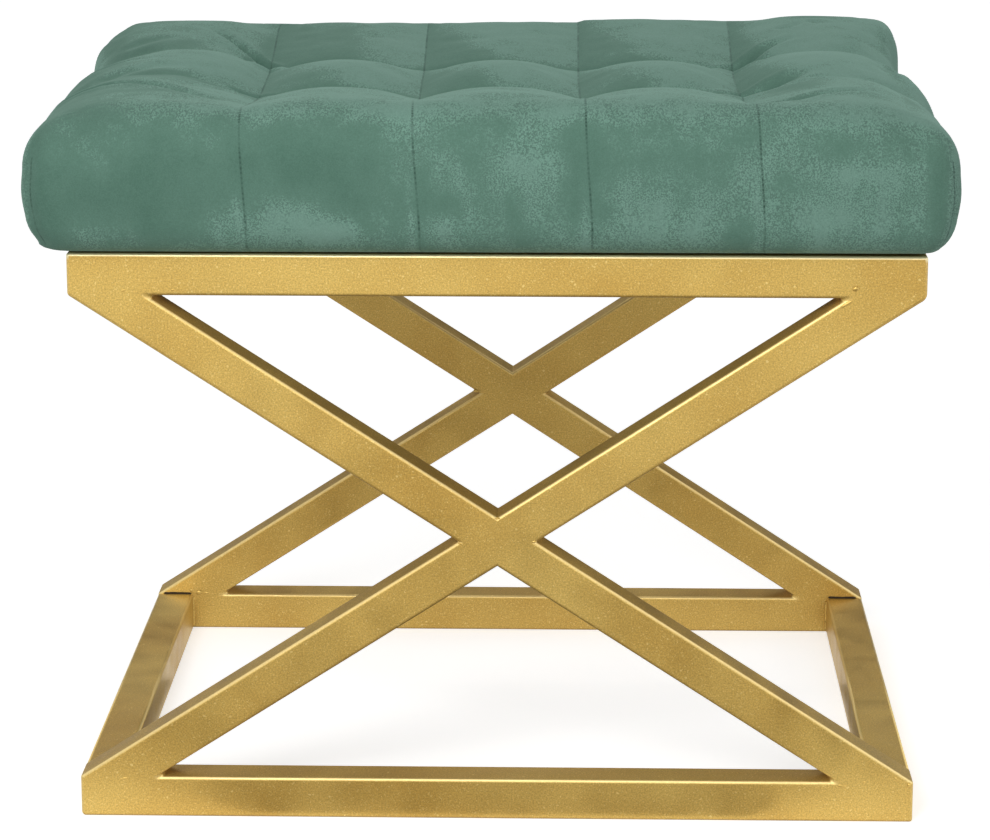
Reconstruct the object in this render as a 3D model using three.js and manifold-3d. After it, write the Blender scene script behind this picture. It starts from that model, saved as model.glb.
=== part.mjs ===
// X-frame stool: two welded X frames of square steel tube, joined by side rails, under a
// biscuit-tufted velvet seat. Millimetres, +Z up, origin on the floor below the middle of the seat.
// The front of the stool faces -Y.
import * as THREE from 'three';
import { mergeVertices } from 'three/addons/utils/BufferGeometryUtils.js';
import Module from 'manifold-3d';

const wasm = await Module();
wasm.setup();

// Steel frame
const frameWidth = 500;
const frameDepth = 420;
const frameHeight = 345;
const tubeSize = 25;
const tubeWall = 1.2;
const tubeOuterRadius = 2;
const tubeInnerRadius = 0.8;
const endPlateThickness = 1.5;

// Clearance that every pair of touching pieces keeps
const gap = 0.3;

// Corner tabs that carry the seat, with their screws and washers
const tabLeg = 40;
const tabTip = 8;
const tabRelief = 4;
const tabThickness = 3;
const tabHoleInset = 15;
const screwRadius = 2;
const screwHeadRadius = 4.2;
const screwHeadHeight = 2.6;
const screwHeadRim = 0.8;
const screwBite = 10;
const screwPoint = 3;
const washerRadius = 6;
const washerThickness = 1;

// Seat layers, from the frame up
const seatOverhang = 20;
const dustCoverThickness = 0.8;
const dustCoverInset = 12;
const dustCoverSag = 4;
const velvetThickness = 1.5;
const hemWidth = 22;
const boardThickness = 12;
const boardCornerRadius = 12;
const cushionHeight = 89;

// Cushion form
const topEdgeRadius = 26;
const bottomEdgeRadius = 22;
const crownDrop = 3;
const tuftColumnPitch = 98;
const tuftRowPitch = 122;
const seamDepth = 9;
const seamEdgeDepth = 3;
const rowDepth = 9;
const rowEdgeDepth = 4;
const tuftDepth = 2;
const puffPower = 0.75;
const cornerFullnessShare = 0.85;

// Tuft ties
const tieRadius = 0.9;
const knotRadius = 3;
const knotHeight = 2;

// Facets
const cornerSegments = 3;
const roundSegments = 12;
const biscuitCells = 4;
const outerCellShares = [0.28, 0.6, 1];
const crownPower = 4;

const X = new THREE.Vector3(1, 0, 0);
const Y = new THREE.Vector3(0, 1, 0);
const Z = new THREE.Vector3(0, 0, 1);

const steel = () => new THREE.MeshStandardMaterial({ color: '#cdac5e', roughness: 0.42, metalness: 0.7 });
const zinc = () => new THREE.MeshStandardMaterial({ color: '#b9bcbf', roughness: 0.35, metalness: 0.9 });
const velvet = () => new THREE.MeshStandardMaterial({ color: '#5d8071', roughness: 0.9, metalness: 0 });
const foam = () => new THREE.MeshStandardMaterial({ color: '#e6dcae', roughness: 0.95, metalness: 0 });
const plywood = () => new THREE.MeshStandardMaterial({ color: '#c9a777', roughness: 0.7, metalness: 0 });
const blackCloth = () => new THREE.MeshStandardMaterial({ color: '#1d1d1f', roughness: 0.95, metalness: 0 });
const twine = () => new THREE.MeshStandardMaterial({ color: '#d8d2c0', roughness: 0.85, metalness: 0 });

function piece(name, geometry, material) {
  const mesh = new THREE.Mesh(geometry, material);
  mesh.name = name;
  return mesh;
}

// Outline helpers

function roundedRectangle(width, height, radius) {
  const x = width / 2 - radius;
  const y = height / 2 - radius;
  const shape = new THREE.Shape();
  shape.absarc(x, y, radius, 0, Math.PI / 2);
  shape.absarc(-x, y, radius, Math.PI / 2, Math.PI);
  shape.absarc(-x, -y, radius, Math.PI, 1.5 * Math.PI);
  shape.absarc(x, -y, radius, 1.5 * Math.PI, 2 * Math.PI);
  return shape;
}

function tubeProfile() {
  const bore = tubeSize - 2 * tubeWall;
  const shape = roundedRectangle(tubeSize, tubeSize, tubeOuterRadius);
  shape.holes.push(roundedRectangle(bore, bore, tubeInnerRadius));
  return shape;
}

// A bar of the given profile along `direction` through `centre`, with each end cut by a plane.
// `across` is the direction of the profile's first axis.
function cutBar(profile, centre, direction, across, startPlane, endPlane) {
  const reach = (plane, offset) => {
    const toPlane = plane.point.clone().sub(centre).dot(plane.normal);
    return (toPlane - offset * across.dot(plane.normal)) / direction.dot(plane.normal);
  };
  const geometry = new THREE.ExtrudeGeometry(profile, {
    depth: 1,
    bevelEnabled: false,
    curveSegments: cornerSegments,
  });
  const position = geometry.attributes.position;
  for (let i = 0; i < position.count; i++) {
    const plane = position.getZ(i) > 0 ? endPlane : startPlane;
    position.setZ(i, reach(plane, position.getX(i)));
  }
  const up = direction.clone().cross(across);
  geometry.applyMatrix4(new THREE.Matrix4().makeBasis(across, up, direction).setPosition(centre));
  return geometry;
}

const planeAt = (point, normal) => ({ point, normal });

// A tube with both ends cut square
function straightTube(start, end) {
  const direction = end.clone().sub(start).normalize();
  return cutBar(tubeProfile(), start, direction, Z, planeAt(start, direction), planeAt(end, direction));
}

// A solid turned about the vertical axis, from [radius, height] points
function turned(points) {
  const outline = points.map(([radius, height]) => new THREE.Vector2(radius, height));
  return new THREE.LatheGeometry(outline, roundSegments).rotateX(Math.PI / 2);
}

// Booleans

function toSolid(geometry) {
  const bare = geometry.clone();
  bare.deleteAttribute('normal');
  bare.deleteAttribute('uv');
  const merged = mergeVertices(bare);
  return new wasm.Manifold(new wasm.Mesh({
    numProp: 3,
    vertProperties: new Float32Array(merged.attributes.position.array),
    triVerts: new Uint32Array(merged.index.array),
  }));
}

function toGeometry(solid) {
  const mesh = solid.getMesh();
  const geometry = new THREE.BufferGeometry();
  geometry.setAttribute('position', new THREE.BufferAttribute(new Float32Array(mesh.vertProperties), 3));
  geometry.setIndex(new THREE.BufferAttribute(new Uint32Array(mesh.triVerts), 1));
  geometry.computeVertexNormals();
  return geometry;
}

// Vertical holes of one radius between two heights, at a list of places
function drill(geometry, places, radius, low, high) {
  let solid = toSolid(geometry);
  for (const place of places) {
    const bit = new THREE.CylinderGeometry(radius, radius, high - low, roundSegments);
    bit.rotateX(Math.PI / 2).translate(place.x, place.y, (low + high) / 2);
    solid = solid.subtract(toSolid(bit));
  }
  return toGeometry(solid);
}

// X frame: two full-width rails, one long diagonal, and two half diagonals butted on it

const railInset = frameDepth / 2 - tubeSize / 2;
const diagonalRise = frameHeight - 2 * tubeSize;
// The diagonal's outer edge starts at the rail's end, and its other edge ends at the far rail's end
const diagonalAngle = Math.atan2(diagonalRise, frameWidth)
  + Math.asin(tubeSize / Math.hypot(diagonalRise, frameWidth));

function rail(name, centreZ, startSide, endSide) {
  const tubeEnd = frameWidth / 2 - endPlateThickness - gap;
  const plate = roundedRectangle(tubeSize, tubeSize, tubeOuterRadius);
  const at = (x) => new THREE.Vector3(x, -railInset, centreZ);
  const group = new THREE.Group();
  group.add(piece(name, straightTube(at(-tubeEnd), at(tubeEnd)), steel()));
  for (const [side, sign] of [[startSide, -1], [endSide, 1]]) {
    const outer = planeAt(at(sign * frameWidth / 2), X);
    const inner = planeAt(at(sign * (frameWidth / 2 - endPlateThickness)), X);
    const ends = sign > 0 ? [inner, outer] : [outer, inner];
    group.add(piece(`${name}_${side}_end_plate`, cutBar(plate, at(0), X, Z, ...ends), steel()));
  }
  return group;
}

function xFrame(name, startSide, endSide) {
  const centre = new THREE.Vector3(0, -railInset, frameHeight / 2);
  const under = planeAt(new THREE.Vector3(0, 0, frameHeight - tubeSize - gap), Z);
  const over = planeAt(new THREE.Vector3(0, 0, tubeSize + gap), Z);
  const fall = new THREE.Vector3(Math.cos(diagonalAngle), 0, -Math.sin(diagonalAngle));
  const climb = new THREE.Vector3(Math.cos(diagonalAngle), 0, Math.sin(diagonalAngle));
  const acrossFall = new THREE.Vector3(Math.sin(diagonalAngle), 0, Math.cos(diagonalAngle));
  const acrossClimb = new THREE.Vector3(-Math.sin(diagonalAngle), 0, Math.cos(diagonalAngle));
  const butt = (side) => planeAt(centre.clone().addScaledVector(acrossFall, side * (tubeSize / 2 + gap)), acrossFall);
  const tube = tubeProfile();
  const group = new THREE.Group();
  group.add(rail(`${name}_top_rail`, frameHeight - tubeSize / 2, startSide, endSide));
  group.add(rail(`${name}_bottom_rail`, tubeSize / 2, startSide, endSide));
  group.add(piece(`${name}_long_diagonal`, cutBar(tube, centre, fall, acrossFall, under, over), steel()));
  group.add(piece(`${name}_upper_half_diagonal`,
    cutBar(tube, centre, climb, acrossClimb, butt(1), under), steel()));
  group.add(piece(`${name}_lower_half_diagonal`,
    cutBar(tube, centre, climb, acrossClimb, over, butt(-1)), steel()));
  return group;
}

function sideRails() {
  const x = frameWidth / 2 - tubeSize / 2;
  const y = frameDepth / 2 - tubeSize - gap;
  const levels = { top: frameHeight - tubeSize / 2, bottom: tubeSize / 2 };
  const group = new THREE.Group();
  for (const [side, sign] of [['left', -1], ['right', 1]]) {
    for (const [level, z] of Object.entries(levels)) {
      const start = new THREE.Vector3(sign * x, -y, z);
      const end = new THREE.Vector3(sign * x, y, z);
      group.add(piece(`${side}_${level}_side_rail`, straightTube(start, end), steel()));
    }
  }
  return group;
}

// Corner tabs, screws and washers

const corners = [
  { name: 'front_left', x: -1, y: -1 },
  { name: 'front_right', x: 1, y: -1 },
  { name: 'rear_left', x: -1, y: 1 },
  { name: 'rear_right', x: 1, y: 1 },
];
const tabCornerX = frameWidth / 2 - tubeSize - gap;
const tabCornerY = frameDepth / 2 - tubeSize - gap;
const screwPlaces = corners.map((corner) => ({
  x: corner.x * (tabCornerX - tabHoleInset),
  y: corner.y * (tabCornerY - tabHoleInset),
}));
const screwHoleRadius = screwRadius + gap;

// Seat levels
const dustCoverBottom = frameHeight + gap;
const hemBottom = dustCoverBottom + dustCoverThickness + gap;
const boardBottom = hemBottom + velvetThickness + gap;
const foamBottom = boardBottom + boardThickness + gap;
const crest = hemBottom + cushionHeight;
const washerTop = frameHeight - tabThickness - gap;
const headTop = washerTop - washerThickness - gap;

function cornerTab(corner) {
  const outline = new THREE.Shape([
    new THREE.Vector2(tabRelief, 0),
    new THREE.Vector2(tabLeg, 0),
    new THREE.Vector2(tabLeg, tabTip),
    new THREE.Vector2(tabTip, tabLeg),
    new THREE.Vector2(0, tabLeg),
    new THREE.Vector2(0, tabRelief),
  ]);
  const hole = new THREE.Path().absarc(tabHoleInset, tabHoleInset, screwHoleRadius, 0, 2 * Math.PI, true);
  outline.holes.push(hole);
  const geometry = new THREE.ExtrudeGeometry(outline, {
    depth: tabThickness,
    bevelEnabled: false,
    curveSegments: roundSegments,
  });
  const mesh = piece(`${corner.name}_tab`, geometry, steel());
  const quarterTurns = { front_left: 0, front_right: 1, rear_right: 2, rear_left: 3 }[corner.name];
  mesh.rotation.z = quarterTurns * Math.PI / 2;
  mesh.position.set(corner.x * tabCornerX, corner.y * tabCornerY, frameHeight - tabThickness);
  return mesh;
}

function screw(name, place) {
  const tip = boardBottom + screwBite;
  const geometry = turned([
    [0, headTop - screwHeadHeight],
    [screwHeadRadius, headTop - screwHeadRim],
    [screwHeadRadius, headTop],
    [screwRadius, headTop],
    [screwRadius, tip - screwPoint],
    [0, tip],
  ]);
  const mesh = piece(name, geometry, zinc());
  mesh.position.set(place.x, place.y, 0);
  return mesh;
}

function washer(name, place) {
  const geometry = turned([
    [screwHoleRadius, washerTop - washerThickness],
    [washerRadius, washerTop - washerThickness],
    [washerRadius, washerTop],
    [screwHoleRadius, washerTop],
    [screwHoleRadius, washerTop - washerThickness],
  ]);
  const mesh = piece(name, geometry, zinc());
  mesh.position.set(place.x, place.y, 0);
  return mesh;
}

// Tufted surface

const cushionX = frameWidth / 2 + seatOverhang;
const cushionY = frameDepth / 2 + seatOverhang;
const topEdgeX = cushionX - topEdgeRadius;
const topEdgeY = cushionY - topEdgeRadius;
const boardX = cushionX - bottomEdgeRadius;
const boardY = cushionY - bottomEdgeRadius;
const seamXs = [-1.5, -0.5, 0.5, 1.5].map((step) => step * tuftColumnPitch);
const rowYs = [-0.5, 0.5].map((step) => step * tuftRowPitch);
const tufts = rowYs.flatMap((y) => seamXs.map((x) => ({ x, y })));

// 1 on the nearest line, falling to 0 in the middle of a biscuit
function dip(value, lines, pitch) {
  const distance = Math.min(...lines.map((line) => Math.abs(value - line)));
  const share = Math.min(distance / (pitch / 2), 1);
  return 1 - Math.sin(share * Math.PI / 2) ** puffPower;
}

// Depth of a line of the quilting, which grows shallow from its last tuft to the edge
function fadingDepth(depth, edgeDepth, value, lastTuft, edge) {
  const share = Math.min(Math.max((Math.abs(value) - lastTuft) / (edge - lastTuft), 0), 1);
  return depth + (edgeDepth - depth) * share;
}

function topHeight(x, y) {
  const seam = dip(x, seamXs, tuftColumnPitch);
  const row = dip(y, rowYs, tuftRowPitch);
  const seamPull = seam * fadingDepth(seamDepth, seamEdgeDepth, y, rowYs.at(-1), topEdgeY);
  const rowPull = row * fadingDepth(rowDepth, rowEdgeDepth, x, seamXs.at(-1), topEdgeX);
  const crown = crownDrop * ((x / topEdgeX) ** crownPower + (y / topEdgeY) ** crownPower) / 2;
  return crest - crown - seamPull - rowPull - tuftDepth * seam * row;
}

function gridLines(lines, edge) {
  const last = lines.at(-1);
  const outer = outerCellShares.map((share) => last + share * (edge - last));
  const inner = [];
  for (let i = 0; i + 1 < lines.length; i++) {
    for (let k = 0; k < biscuitCells; k++) {
      inner.push(lines[i] + (lines[i + 1] - lines[i]) * k / biscuitCells);
    }
  }
  return [...outer.map((value) => -value).reverse(), ...inner, last, ...outer];
}

const gridX = gridLines(seamXs, topEdgeX);
const gridY = gridLines(rowYs, topEdgeY);

// The edge of the top grid, counter-clockwise from above, with the way out at each point
function edgeLoop() {
  const right = gridX.length - 1;
  const back = gridY.length - 1;
  const loop = [];
  for (let i = 0; i < right; i++) loop.push([i, 0]);
  for (let j = 0; j < back; j++) loop.push([right, j]);
  for (let i = right; i > 0; i--) loop.push([i, back]);
  for (let j = back; j > 0; j--) loop.push([0, j]);
  return loop.map(([i, j]) => {
    const sideX = i === 0 ? -1 : i === right ? 1 : 0;
    const sideY = j === 0 ? -1 : j === back ? 1 : 0;
    const seamGroove = sideY ? seamEdgeDepth * dip(gridX[i], seamXs, tuftColumnPitch) : 0;
    const rowGroove = sideX ? rowEdgeDepth * dip(gridY[j], rowYs, tuftRowPitch) : 0;
    return {
      index: j * gridX.length + i,
      x: gridX[i],
      y: gridY[j],
      outX: sideX,
      outY: sideY,
      cornerShare: sideX && sideY ? cornerFullnessShare : 1,
      groove: sideX && sideY ? 0 : seamGroove + rowGroove,
    };
  });
}

// The side of the cushion below the top grid, `inset` inside the velvet's outer face: each ring is
// how far out it lies, its height below an edge point of height z, and its share of the grooves.
function sideRings(inset) {
  const top = topEdgeRadius - inset;
  const bottom = bottomEdgeRadius - inset;
  const bottomCentre = topEdgeRadius - bottomEdgeRadius;
  const rings = [];
  for (const angle of [Math.PI / 4, Math.PI / 2]) {
    rings.push({
      out: top * Math.sin(angle),
      height: (z) => z + inset - topEdgeRadius + top * Math.cos(angle),
      share: Math.sin(angle),
    });
  }
  for (const angle of [0, Math.PI / 4, Math.PI / 2]) {
    rings.push({
      out: bottomCentre + bottom * Math.cos(angle),
      height: () => hemBottom + bottomEdgeRadius - bottom * Math.sin(angle),
      share: Math.cos(angle),
    });
  }
  return rings;
}

// Vertices of the top grid and its side rings, with the faces between them
function tuftedSkin(inset, rings) {
  const loop = edgeLoop();
  const vertices = [];
  const faces = [];
  for (const y of gridY) {
    for (const x of gridX) vertices.push(new THREE.Vector3(x, y, topHeight(x, y) - inset));
  }
  for (let j = 0; j + 1 < gridY.length; j++) {
    for (let i = 0; i + 1 < gridX.length; i++) {
      const a = j * gridX.length + i;
      const d = a + gridX.length;
      faces.push([a, a + 1, d + 1], [a, d + 1, d]);
    }
  }
  let previous = loop.map((point) => point.index);
  for (const ring of rings) {
    const first = vertices.length;
    for (const point of loop) {
      const reach = ring.square ? ring.out : ring.out * point.cornerShare;
      const out = reach - point.groove * ring.share;
      const z = ring.height(vertices[point.index].z);
      vertices.push(new THREE.Vector3(point.x + point.outX * out, point.y + point.outY * out, z));
    }
    const current = loop.map((point, k) => first + k);
    faces.push(...band(previous, current));
    previous = current;
  }
  return { vertices, faces, rim: previous };
}

// Faces between two closed rings, with `lower` outside or under `upper`
function band(upper, lower) {
  return upper.flatMap((corner, k) => {
    const next = (k + 1) % upper.length;
    return [[corner, lower[k], lower[next]], [corner, lower[next], upper[next]]];
  });
}

function fromFaces(vertices, faces) {
  const geometry = new THREE.BufferGeometry().setFromPoints(vertices);
  geometry.setIndex(faces.flat());
  geometry.computeVertexNormals();
  return geometry;
}

function hemRing(inset) {
  return { out: topEdgeRadius - bottomEdgeRadius - hemWidth, height: () => hemBottom + inset, share: 0 };
}

// The cover: an outer and an inner skin that meet at the edge of the hem under the board
function velvetCover() {
  const outer = tuftedSkin(0, [...sideRings(0), hemRing(0)]);
  const inner = tuftedSkin(velvetThickness, [...sideRings(velvetThickness), hemRing(velvetThickness)]);
  const offset = outer.vertices.length;
  const flipped = inner.faces.map(([a, b, c]) => [offset + a, offset + c, offset + b]);
  const rim = band(outer.rim, inner.rim.map((index) => offset + index));
  const geometry = fromFaces([...outer.vertices, ...inner.vertices], [...outer.faces, ...flipped, ...rim]);
  return piece('velvet_cover', geometry, velvet());
}

// The foam fills the cover and laps over the edge of the board
function foamCore() {
  const inset = velvetThickness + gap;
  const lap = sideRings(inset).slice(0, -1);
  const lip = boardX + gap - topEdgeX;
  lap.push({ out: lip, height: lap.at(-1).height, share: 0, square: true });
  lap.push({ out: lip, height: () => foamBottom, share: 0, square: true });
  const skin = tuftedSkin(inset, lap);
  const middle = skin.vertices.length;
  skin.vertices.push(new THREE.Vector3(0, 0, foamBottom));
  const underside = skin.rim.map((index, k) => [index, middle, skin.rim[(k + 1) % skin.rim.length]]);
  const core = fromFaces(skin.vertices, [...skin.faces, ...underside]);
  return piece('foam_core', drill(core, tufts, tieRadius + gap, foamBottom - knotHeight, crest), foam());
}

function seatBoard() {
  const outline = roundedRectangle(2 * boardX, 2 * boardY, boardCornerRadius);
  const board = new THREE.ExtrudeGeometry(outline, {
    depth: boardThickness,
    bevelEnabled: false,
    curveSegments: cornerSegments,
  });
  board.translate(0, 0, boardBottom);
  const tied = drill(board, tufts, tieRadius + gap, hemBottom, foamBottom + knotHeight);
  const pilot = drill(tied, screwPlaces, screwHoleRadius, hemBottom, boardBottom + screwBite + gap);
  return piece('seat_board', pilot, plywood());
}

function tuftTie(name, place) {
  const knotTop = boardBottom - gap;
  const top = topHeight(place.x, place.y) - velvetThickness - gap;
  const geometry = turned([
    [0, knotTop - knotHeight],
    [knotRadius, knotTop - knotHeight],
    [knotRadius, knotTop],
    [tieRadius, knotTop],
    [tieRadius, top],
    [0, top],
  ]);
  const mesh = piece(name, geometry, twine());
  mesh.position.set(place.x, place.y, 0);
  return mesh;
}

// A thin cloth under the board, held between the frame and the hem and sagging inside the frame
function dustCover() {
  const halfX = boardX - dustCoverInset;
  const halfY = boardY - dustCoverInset;
  const openX = frameWidth / 2 - tubeSize;
  const openY = frameDepth / 2 - tubeSize;
  const hollow = (value, open) => Math.max(1 - (value / open) ** 2, 0) ** 2;
  const geometry = new THREE.BoxGeometry(2 * halfX, 2 * halfY, dustCoverThickness, roundSegments, roundSegments);
  geometry.translate(0, 0, dustCoverBottom + dustCoverThickness / 2);
  const position = geometry.attributes.position;
  for (let i = 0; i < position.count; i++) {
    const sag = dustCoverSag * hollow(position.getX(i), openX) * hollow(position.getY(i), openY);
    position.setZ(i, position.getZ(i) - sag);
  }
  const cloth = drill(geometry, screwPlaces, screwHoleRadius, frameHeight - gap, boardBottom);
  return piece('dust_cover', cloth, blackCloth());
}

// Assembly

const stool = new THREE.Group();

const frame = new THREE.Group();
frame.add(xFrame('front', 'left', 'right'));
const rear = xFrame('rear', 'right', 'left');
rear.rotation.z = Math.PI;
frame.add(rear, sideRails());
frame.add(...corners.map(cornerTab));
stool.add(frame);

const seat = new THREE.Group();
seat.add(dustCover(), seatBoard(), foamCore(), velvetCover());
tufts.forEach((place, k) => seat.add(tuftTie(`tuft_tie_${k + 1}`, place)));
corners.forEach((corner, k) => {
  seat.add(screw(`${corner.name}_screw`, screwPlaces[k]), washer(`${corner.name}_washer`, screwPlaces[k]));
});
stool.add(seat);

export default stool;
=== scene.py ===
"""X-frame stool: gold powder-coated square tube under a biscuit-tufted green velvet seat.

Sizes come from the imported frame. Lengths are in metres: `mm` turns millimetres into them.
"""
import math

import bmesh
import bpy
import numpy as np
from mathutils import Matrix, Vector, noise
from mathutils.geometry import tessellate_polygon
from mathutils.kdtree import KDTree


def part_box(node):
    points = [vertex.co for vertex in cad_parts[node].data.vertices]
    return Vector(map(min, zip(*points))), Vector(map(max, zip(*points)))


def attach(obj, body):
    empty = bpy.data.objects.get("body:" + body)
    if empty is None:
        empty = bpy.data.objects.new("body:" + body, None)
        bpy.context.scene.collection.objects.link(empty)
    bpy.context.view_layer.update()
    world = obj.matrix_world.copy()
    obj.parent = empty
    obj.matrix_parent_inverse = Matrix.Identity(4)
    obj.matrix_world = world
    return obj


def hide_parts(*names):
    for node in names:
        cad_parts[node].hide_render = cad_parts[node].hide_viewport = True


mm = 0.001
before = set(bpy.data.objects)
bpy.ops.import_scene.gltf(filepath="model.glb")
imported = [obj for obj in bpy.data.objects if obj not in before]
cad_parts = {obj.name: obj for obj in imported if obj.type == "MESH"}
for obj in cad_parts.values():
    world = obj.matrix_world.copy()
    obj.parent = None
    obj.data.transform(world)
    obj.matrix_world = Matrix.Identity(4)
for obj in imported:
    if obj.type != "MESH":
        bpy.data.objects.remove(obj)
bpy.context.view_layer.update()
# noise_vector takes its offsets from this seed, and from the clock without it
noise.seed_set(7)

# Sizes read from the frame

rail_low, rail_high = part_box("front_top_rail")
plate_low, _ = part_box("front_top_rail_left_end_plate")
_, board_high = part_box("seat_board")
cover_low, cover_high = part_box("velvet_cover")
_, cloth_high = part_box("dust_cover")
TUBE = rail_high.z - rail_low.z
FRAME_TOP = rail_high.z
HALF_WIDTH = -plate_low.x
HALF_DEPTH = -rail_low.y
TUFTS = [(low + high) / 2 for low, high in (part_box(f"tuft_tie_{k}") for k in range(1, 9))]
SEAMS = sorted({round(tuft.x, 5) for tuft in TUFTS})
ROWS = sorted({round(tuft.y, 5) for tuft in TUFTS})
SEAM_GAP = SEAMS[1] - SEAMS[0]


# Small helpers

def new_object(name, data):
    obj = bpy.data.objects.new(name, data)
    bpy.context.scene.collection.objects.link(obj)
    return obj


def mesh_object(name, vertices, faces, smooth=True):
    data = bpy.data.meshes.new(name)
    data.from_pydata([tuple(v) for v in vertices], [], faces)
    data.polygons.foreach_set("use_smooth", [smooth] * len(data.polygons))
    data.update()
    return new_object(name, data)


def write_values(data, name, values):
    attribute = data.attributes.get(name) or data.attributes.new(name, "FLOAT", "POINT")
    attribute.data.foreach_set("value", np.asarray(values, dtype=np.float32))


def finished(obj, material, slot, *nodes):
    """Gives a piece its material and its body, and hides the CAD nodes that it stands for."""
    obj.data.materials.append(material)
    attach(obj, "root")
    if nodes:
        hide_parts(*nodes)


def joined(name, parts):
    """One mesh made of several (vertices, faces) parts."""
    vertices, faces = [], []
    for part_vertices, part_faces in parts:
        start = len(vertices)
        vertices.extend(part_vertices)
        faces.extend([tuple(start + k for k in face) for face in part_faces])
    return mesh_object(name, vertices, faces)


def ring_faces(rings, steps):
    """Faces of a closed body made of rings of points: its sides, then its two ends."""
    faces = []
    for ring in range(rings - 1):
        for k in range(steps):
            a, b = ring * steps + k, ring * steps + (k + 1) % steps
            faces.append((a, b, b + steps, a + steps))
    return faces + [tuple(reversed(range(steps))), tuple(range((rings - 1) * steps, rings * steps))]


def swept(points, radii, steps=8, squash=1.0, up=Vector((0, 0, 1))):
    """A closed round rod through `points`, as vertices and faces."""
    vertices = []
    for k, (point, radius) in enumerate(zip(points, radii)):
        along = (points[min(k + 1, len(points) - 1)] - points[max(k - 1, 0)]).normalized()
        side = along.cross(up)
        side = side.normalized() if side.length > 1e-6 else Vector((1, 0, 0))
        lift = side.cross(along)
        for step in range(steps):
            angle = 2 * math.pi * step / steps
            across = side * radius * math.cos(angle)
            vertices.append(point + across + lift * radius * squash * math.sin(angle))
    return vertices, ring_faces(len(points), steps)


# Camera, fitted to the photograph's edges

IMAGE_WIDTH = 990
FOCAL_PIXELS = 3490.1
SENSOR = 36.0
EYE = Vector((47.4, -2198.4, 716.7)) * mm
YAW = -0.0241
PITCH = 0.2320


def pointed(obj, place, toward):
    """Moves a camera or lamp to a place and turns it to look along `toward`."""
    obj.location = place
    obj.rotation_mode = "QUATERNION"
    obj.rotation_quaternion = Vector(toward).to_track_quat("-Z", "Y")
    return obj


def add_camera():
    data = bpy.data.cameras.new("camera")
    data.sensor_width = SENSOR
    data.lens = FOCAL_PIXELS * SENSOR / IMAGE_WIDTH
    data.clip_end = 100
    look = (math.sin(YAW) * math.cos(PITCH), math.cos(YAW) * math.cos(PITCH), -math.sin(PITCH))
    bpy.context.scene.camera = pointed(new_object("camera", data), EYE, look)


# Materials

STITCH = 3.2 * mm


def linear(red, green, blue):
    """A colour from 0 to 255 as the linear values that a shader takes."""
    shares = (red / 255, green / 255, blue / 255)
    return (*(c / 12.92 if c <= 0.04045 else ((c + 0.055) / 1.055) ** 2.4 for c in shares), 1.0)


class Nodes:
    """Short ways to add nodes to a new material, or to a world. An input may be a value or an output."""

    def __init__(self, name, owner=None):
        self.owner = owner or bpy.data.materials.new(name)
        self.owner.use_nodes = True
        self.tree = self.owner.node_tree

    def feed(self, socket, value):
        if isinstance(value, bpy.types.NodeSocket):
            self.tree.links.new(value, socket)
        else:
            socket.default_value = value

    def add(self, kind, output, inputs, **settings):
        """Adds a node with these settings and inputs, and returns one of its outputs."""
        node = self.tree.nodes.new("ShaderNode" + kind)
        for name, value in settings.items():
            setattr(node, name, value)
        for socket, value in inputs.items():
            self.feed(node.inputs[socket], value)
        return node.outputs[output]

    def surface(self, inputs, shader="Principled BSDF"):
        """Sets the shader's inputs and returns the finished material or world."""
        for socket, value in inputs.items():
            self.feed(self.tree.nodes[shader].inputs[socket], value)
        return self.owner

    def place(self):
        return self.add("TexCoord", "Object", {})

    def stretched(self, place, scale):
        return self.add("Mapping", "Vector", {"Vector": place, "Scale": scale})

    def noise(self, place, scale, detail=2.0, roughness=0.5):
        inputs = {"Vector": place, "Scale": scale, "Detail": detail, "Roughness": roughness}
        return self.add("TexNoise", "Fac", inputs)

    def attribute(self, name):
        return self.add("Attribute", "Fac", {}, attribute_name=name)

    def part(self, vector, axis):
        return self.add("SeparateXYZ", axis, {0: vector})

    def math(self, operation, first, second=0.0):
        return self.add("Math", 0, {0: first, 1: second}, operation=operation)

    def level(self, value, low, high, start=0.0, end=1.0):
        """Turns `value` between low and high into a number between start and end."""
        limits = {"From Min": low, "From Max": high, "To Min": start, "To Max": end}
        return self.add("MapRange", "Result", {"Value": value, **limits})

    def times(self, first, second):
        return self.math("MULTIPLY", first, second)

    def centred(self, value, amount):
        """A value about 0 instead of 0.5, times an amount."""
        return self.times(self.math("SUBTRACT", value, 0.5), amount)

    def bump(self, height, distance, strength, **normal):
        inputs = {"Height": height, "Distance": distance, "Strength": strength, **normal}
        return self.add("Bump", "Normal", inputs)

    def ramp(self, value, *stops):
        node = self.tree.nodes.new("ShaderNodeValToRGB")
        elements = node.color_ramp.elements
        while len(elements) < len(stops):
            elements.new(0.5)
        for element, (position, colour) in zip(elements, stops):
            element.position = position
            element.color = (*colour[:3], 1.0)
        self.feed(node.inputs["Fac"], value)
        return node.outputs["Color"]

    def mix(self, factor, first, second, blend="MIX"):
        node = self.tree.nodes.new("ShaderNodeMix")
        node.data_type, node.blend_type = "RGBA", blend
        sockets = [socket for socket in node.inputs if socket.enabled]
        for socket, value in zip(sockets, (factor, first, second)):
            self.feed(socket, value)
        return node.outputs["Result"]


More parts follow.
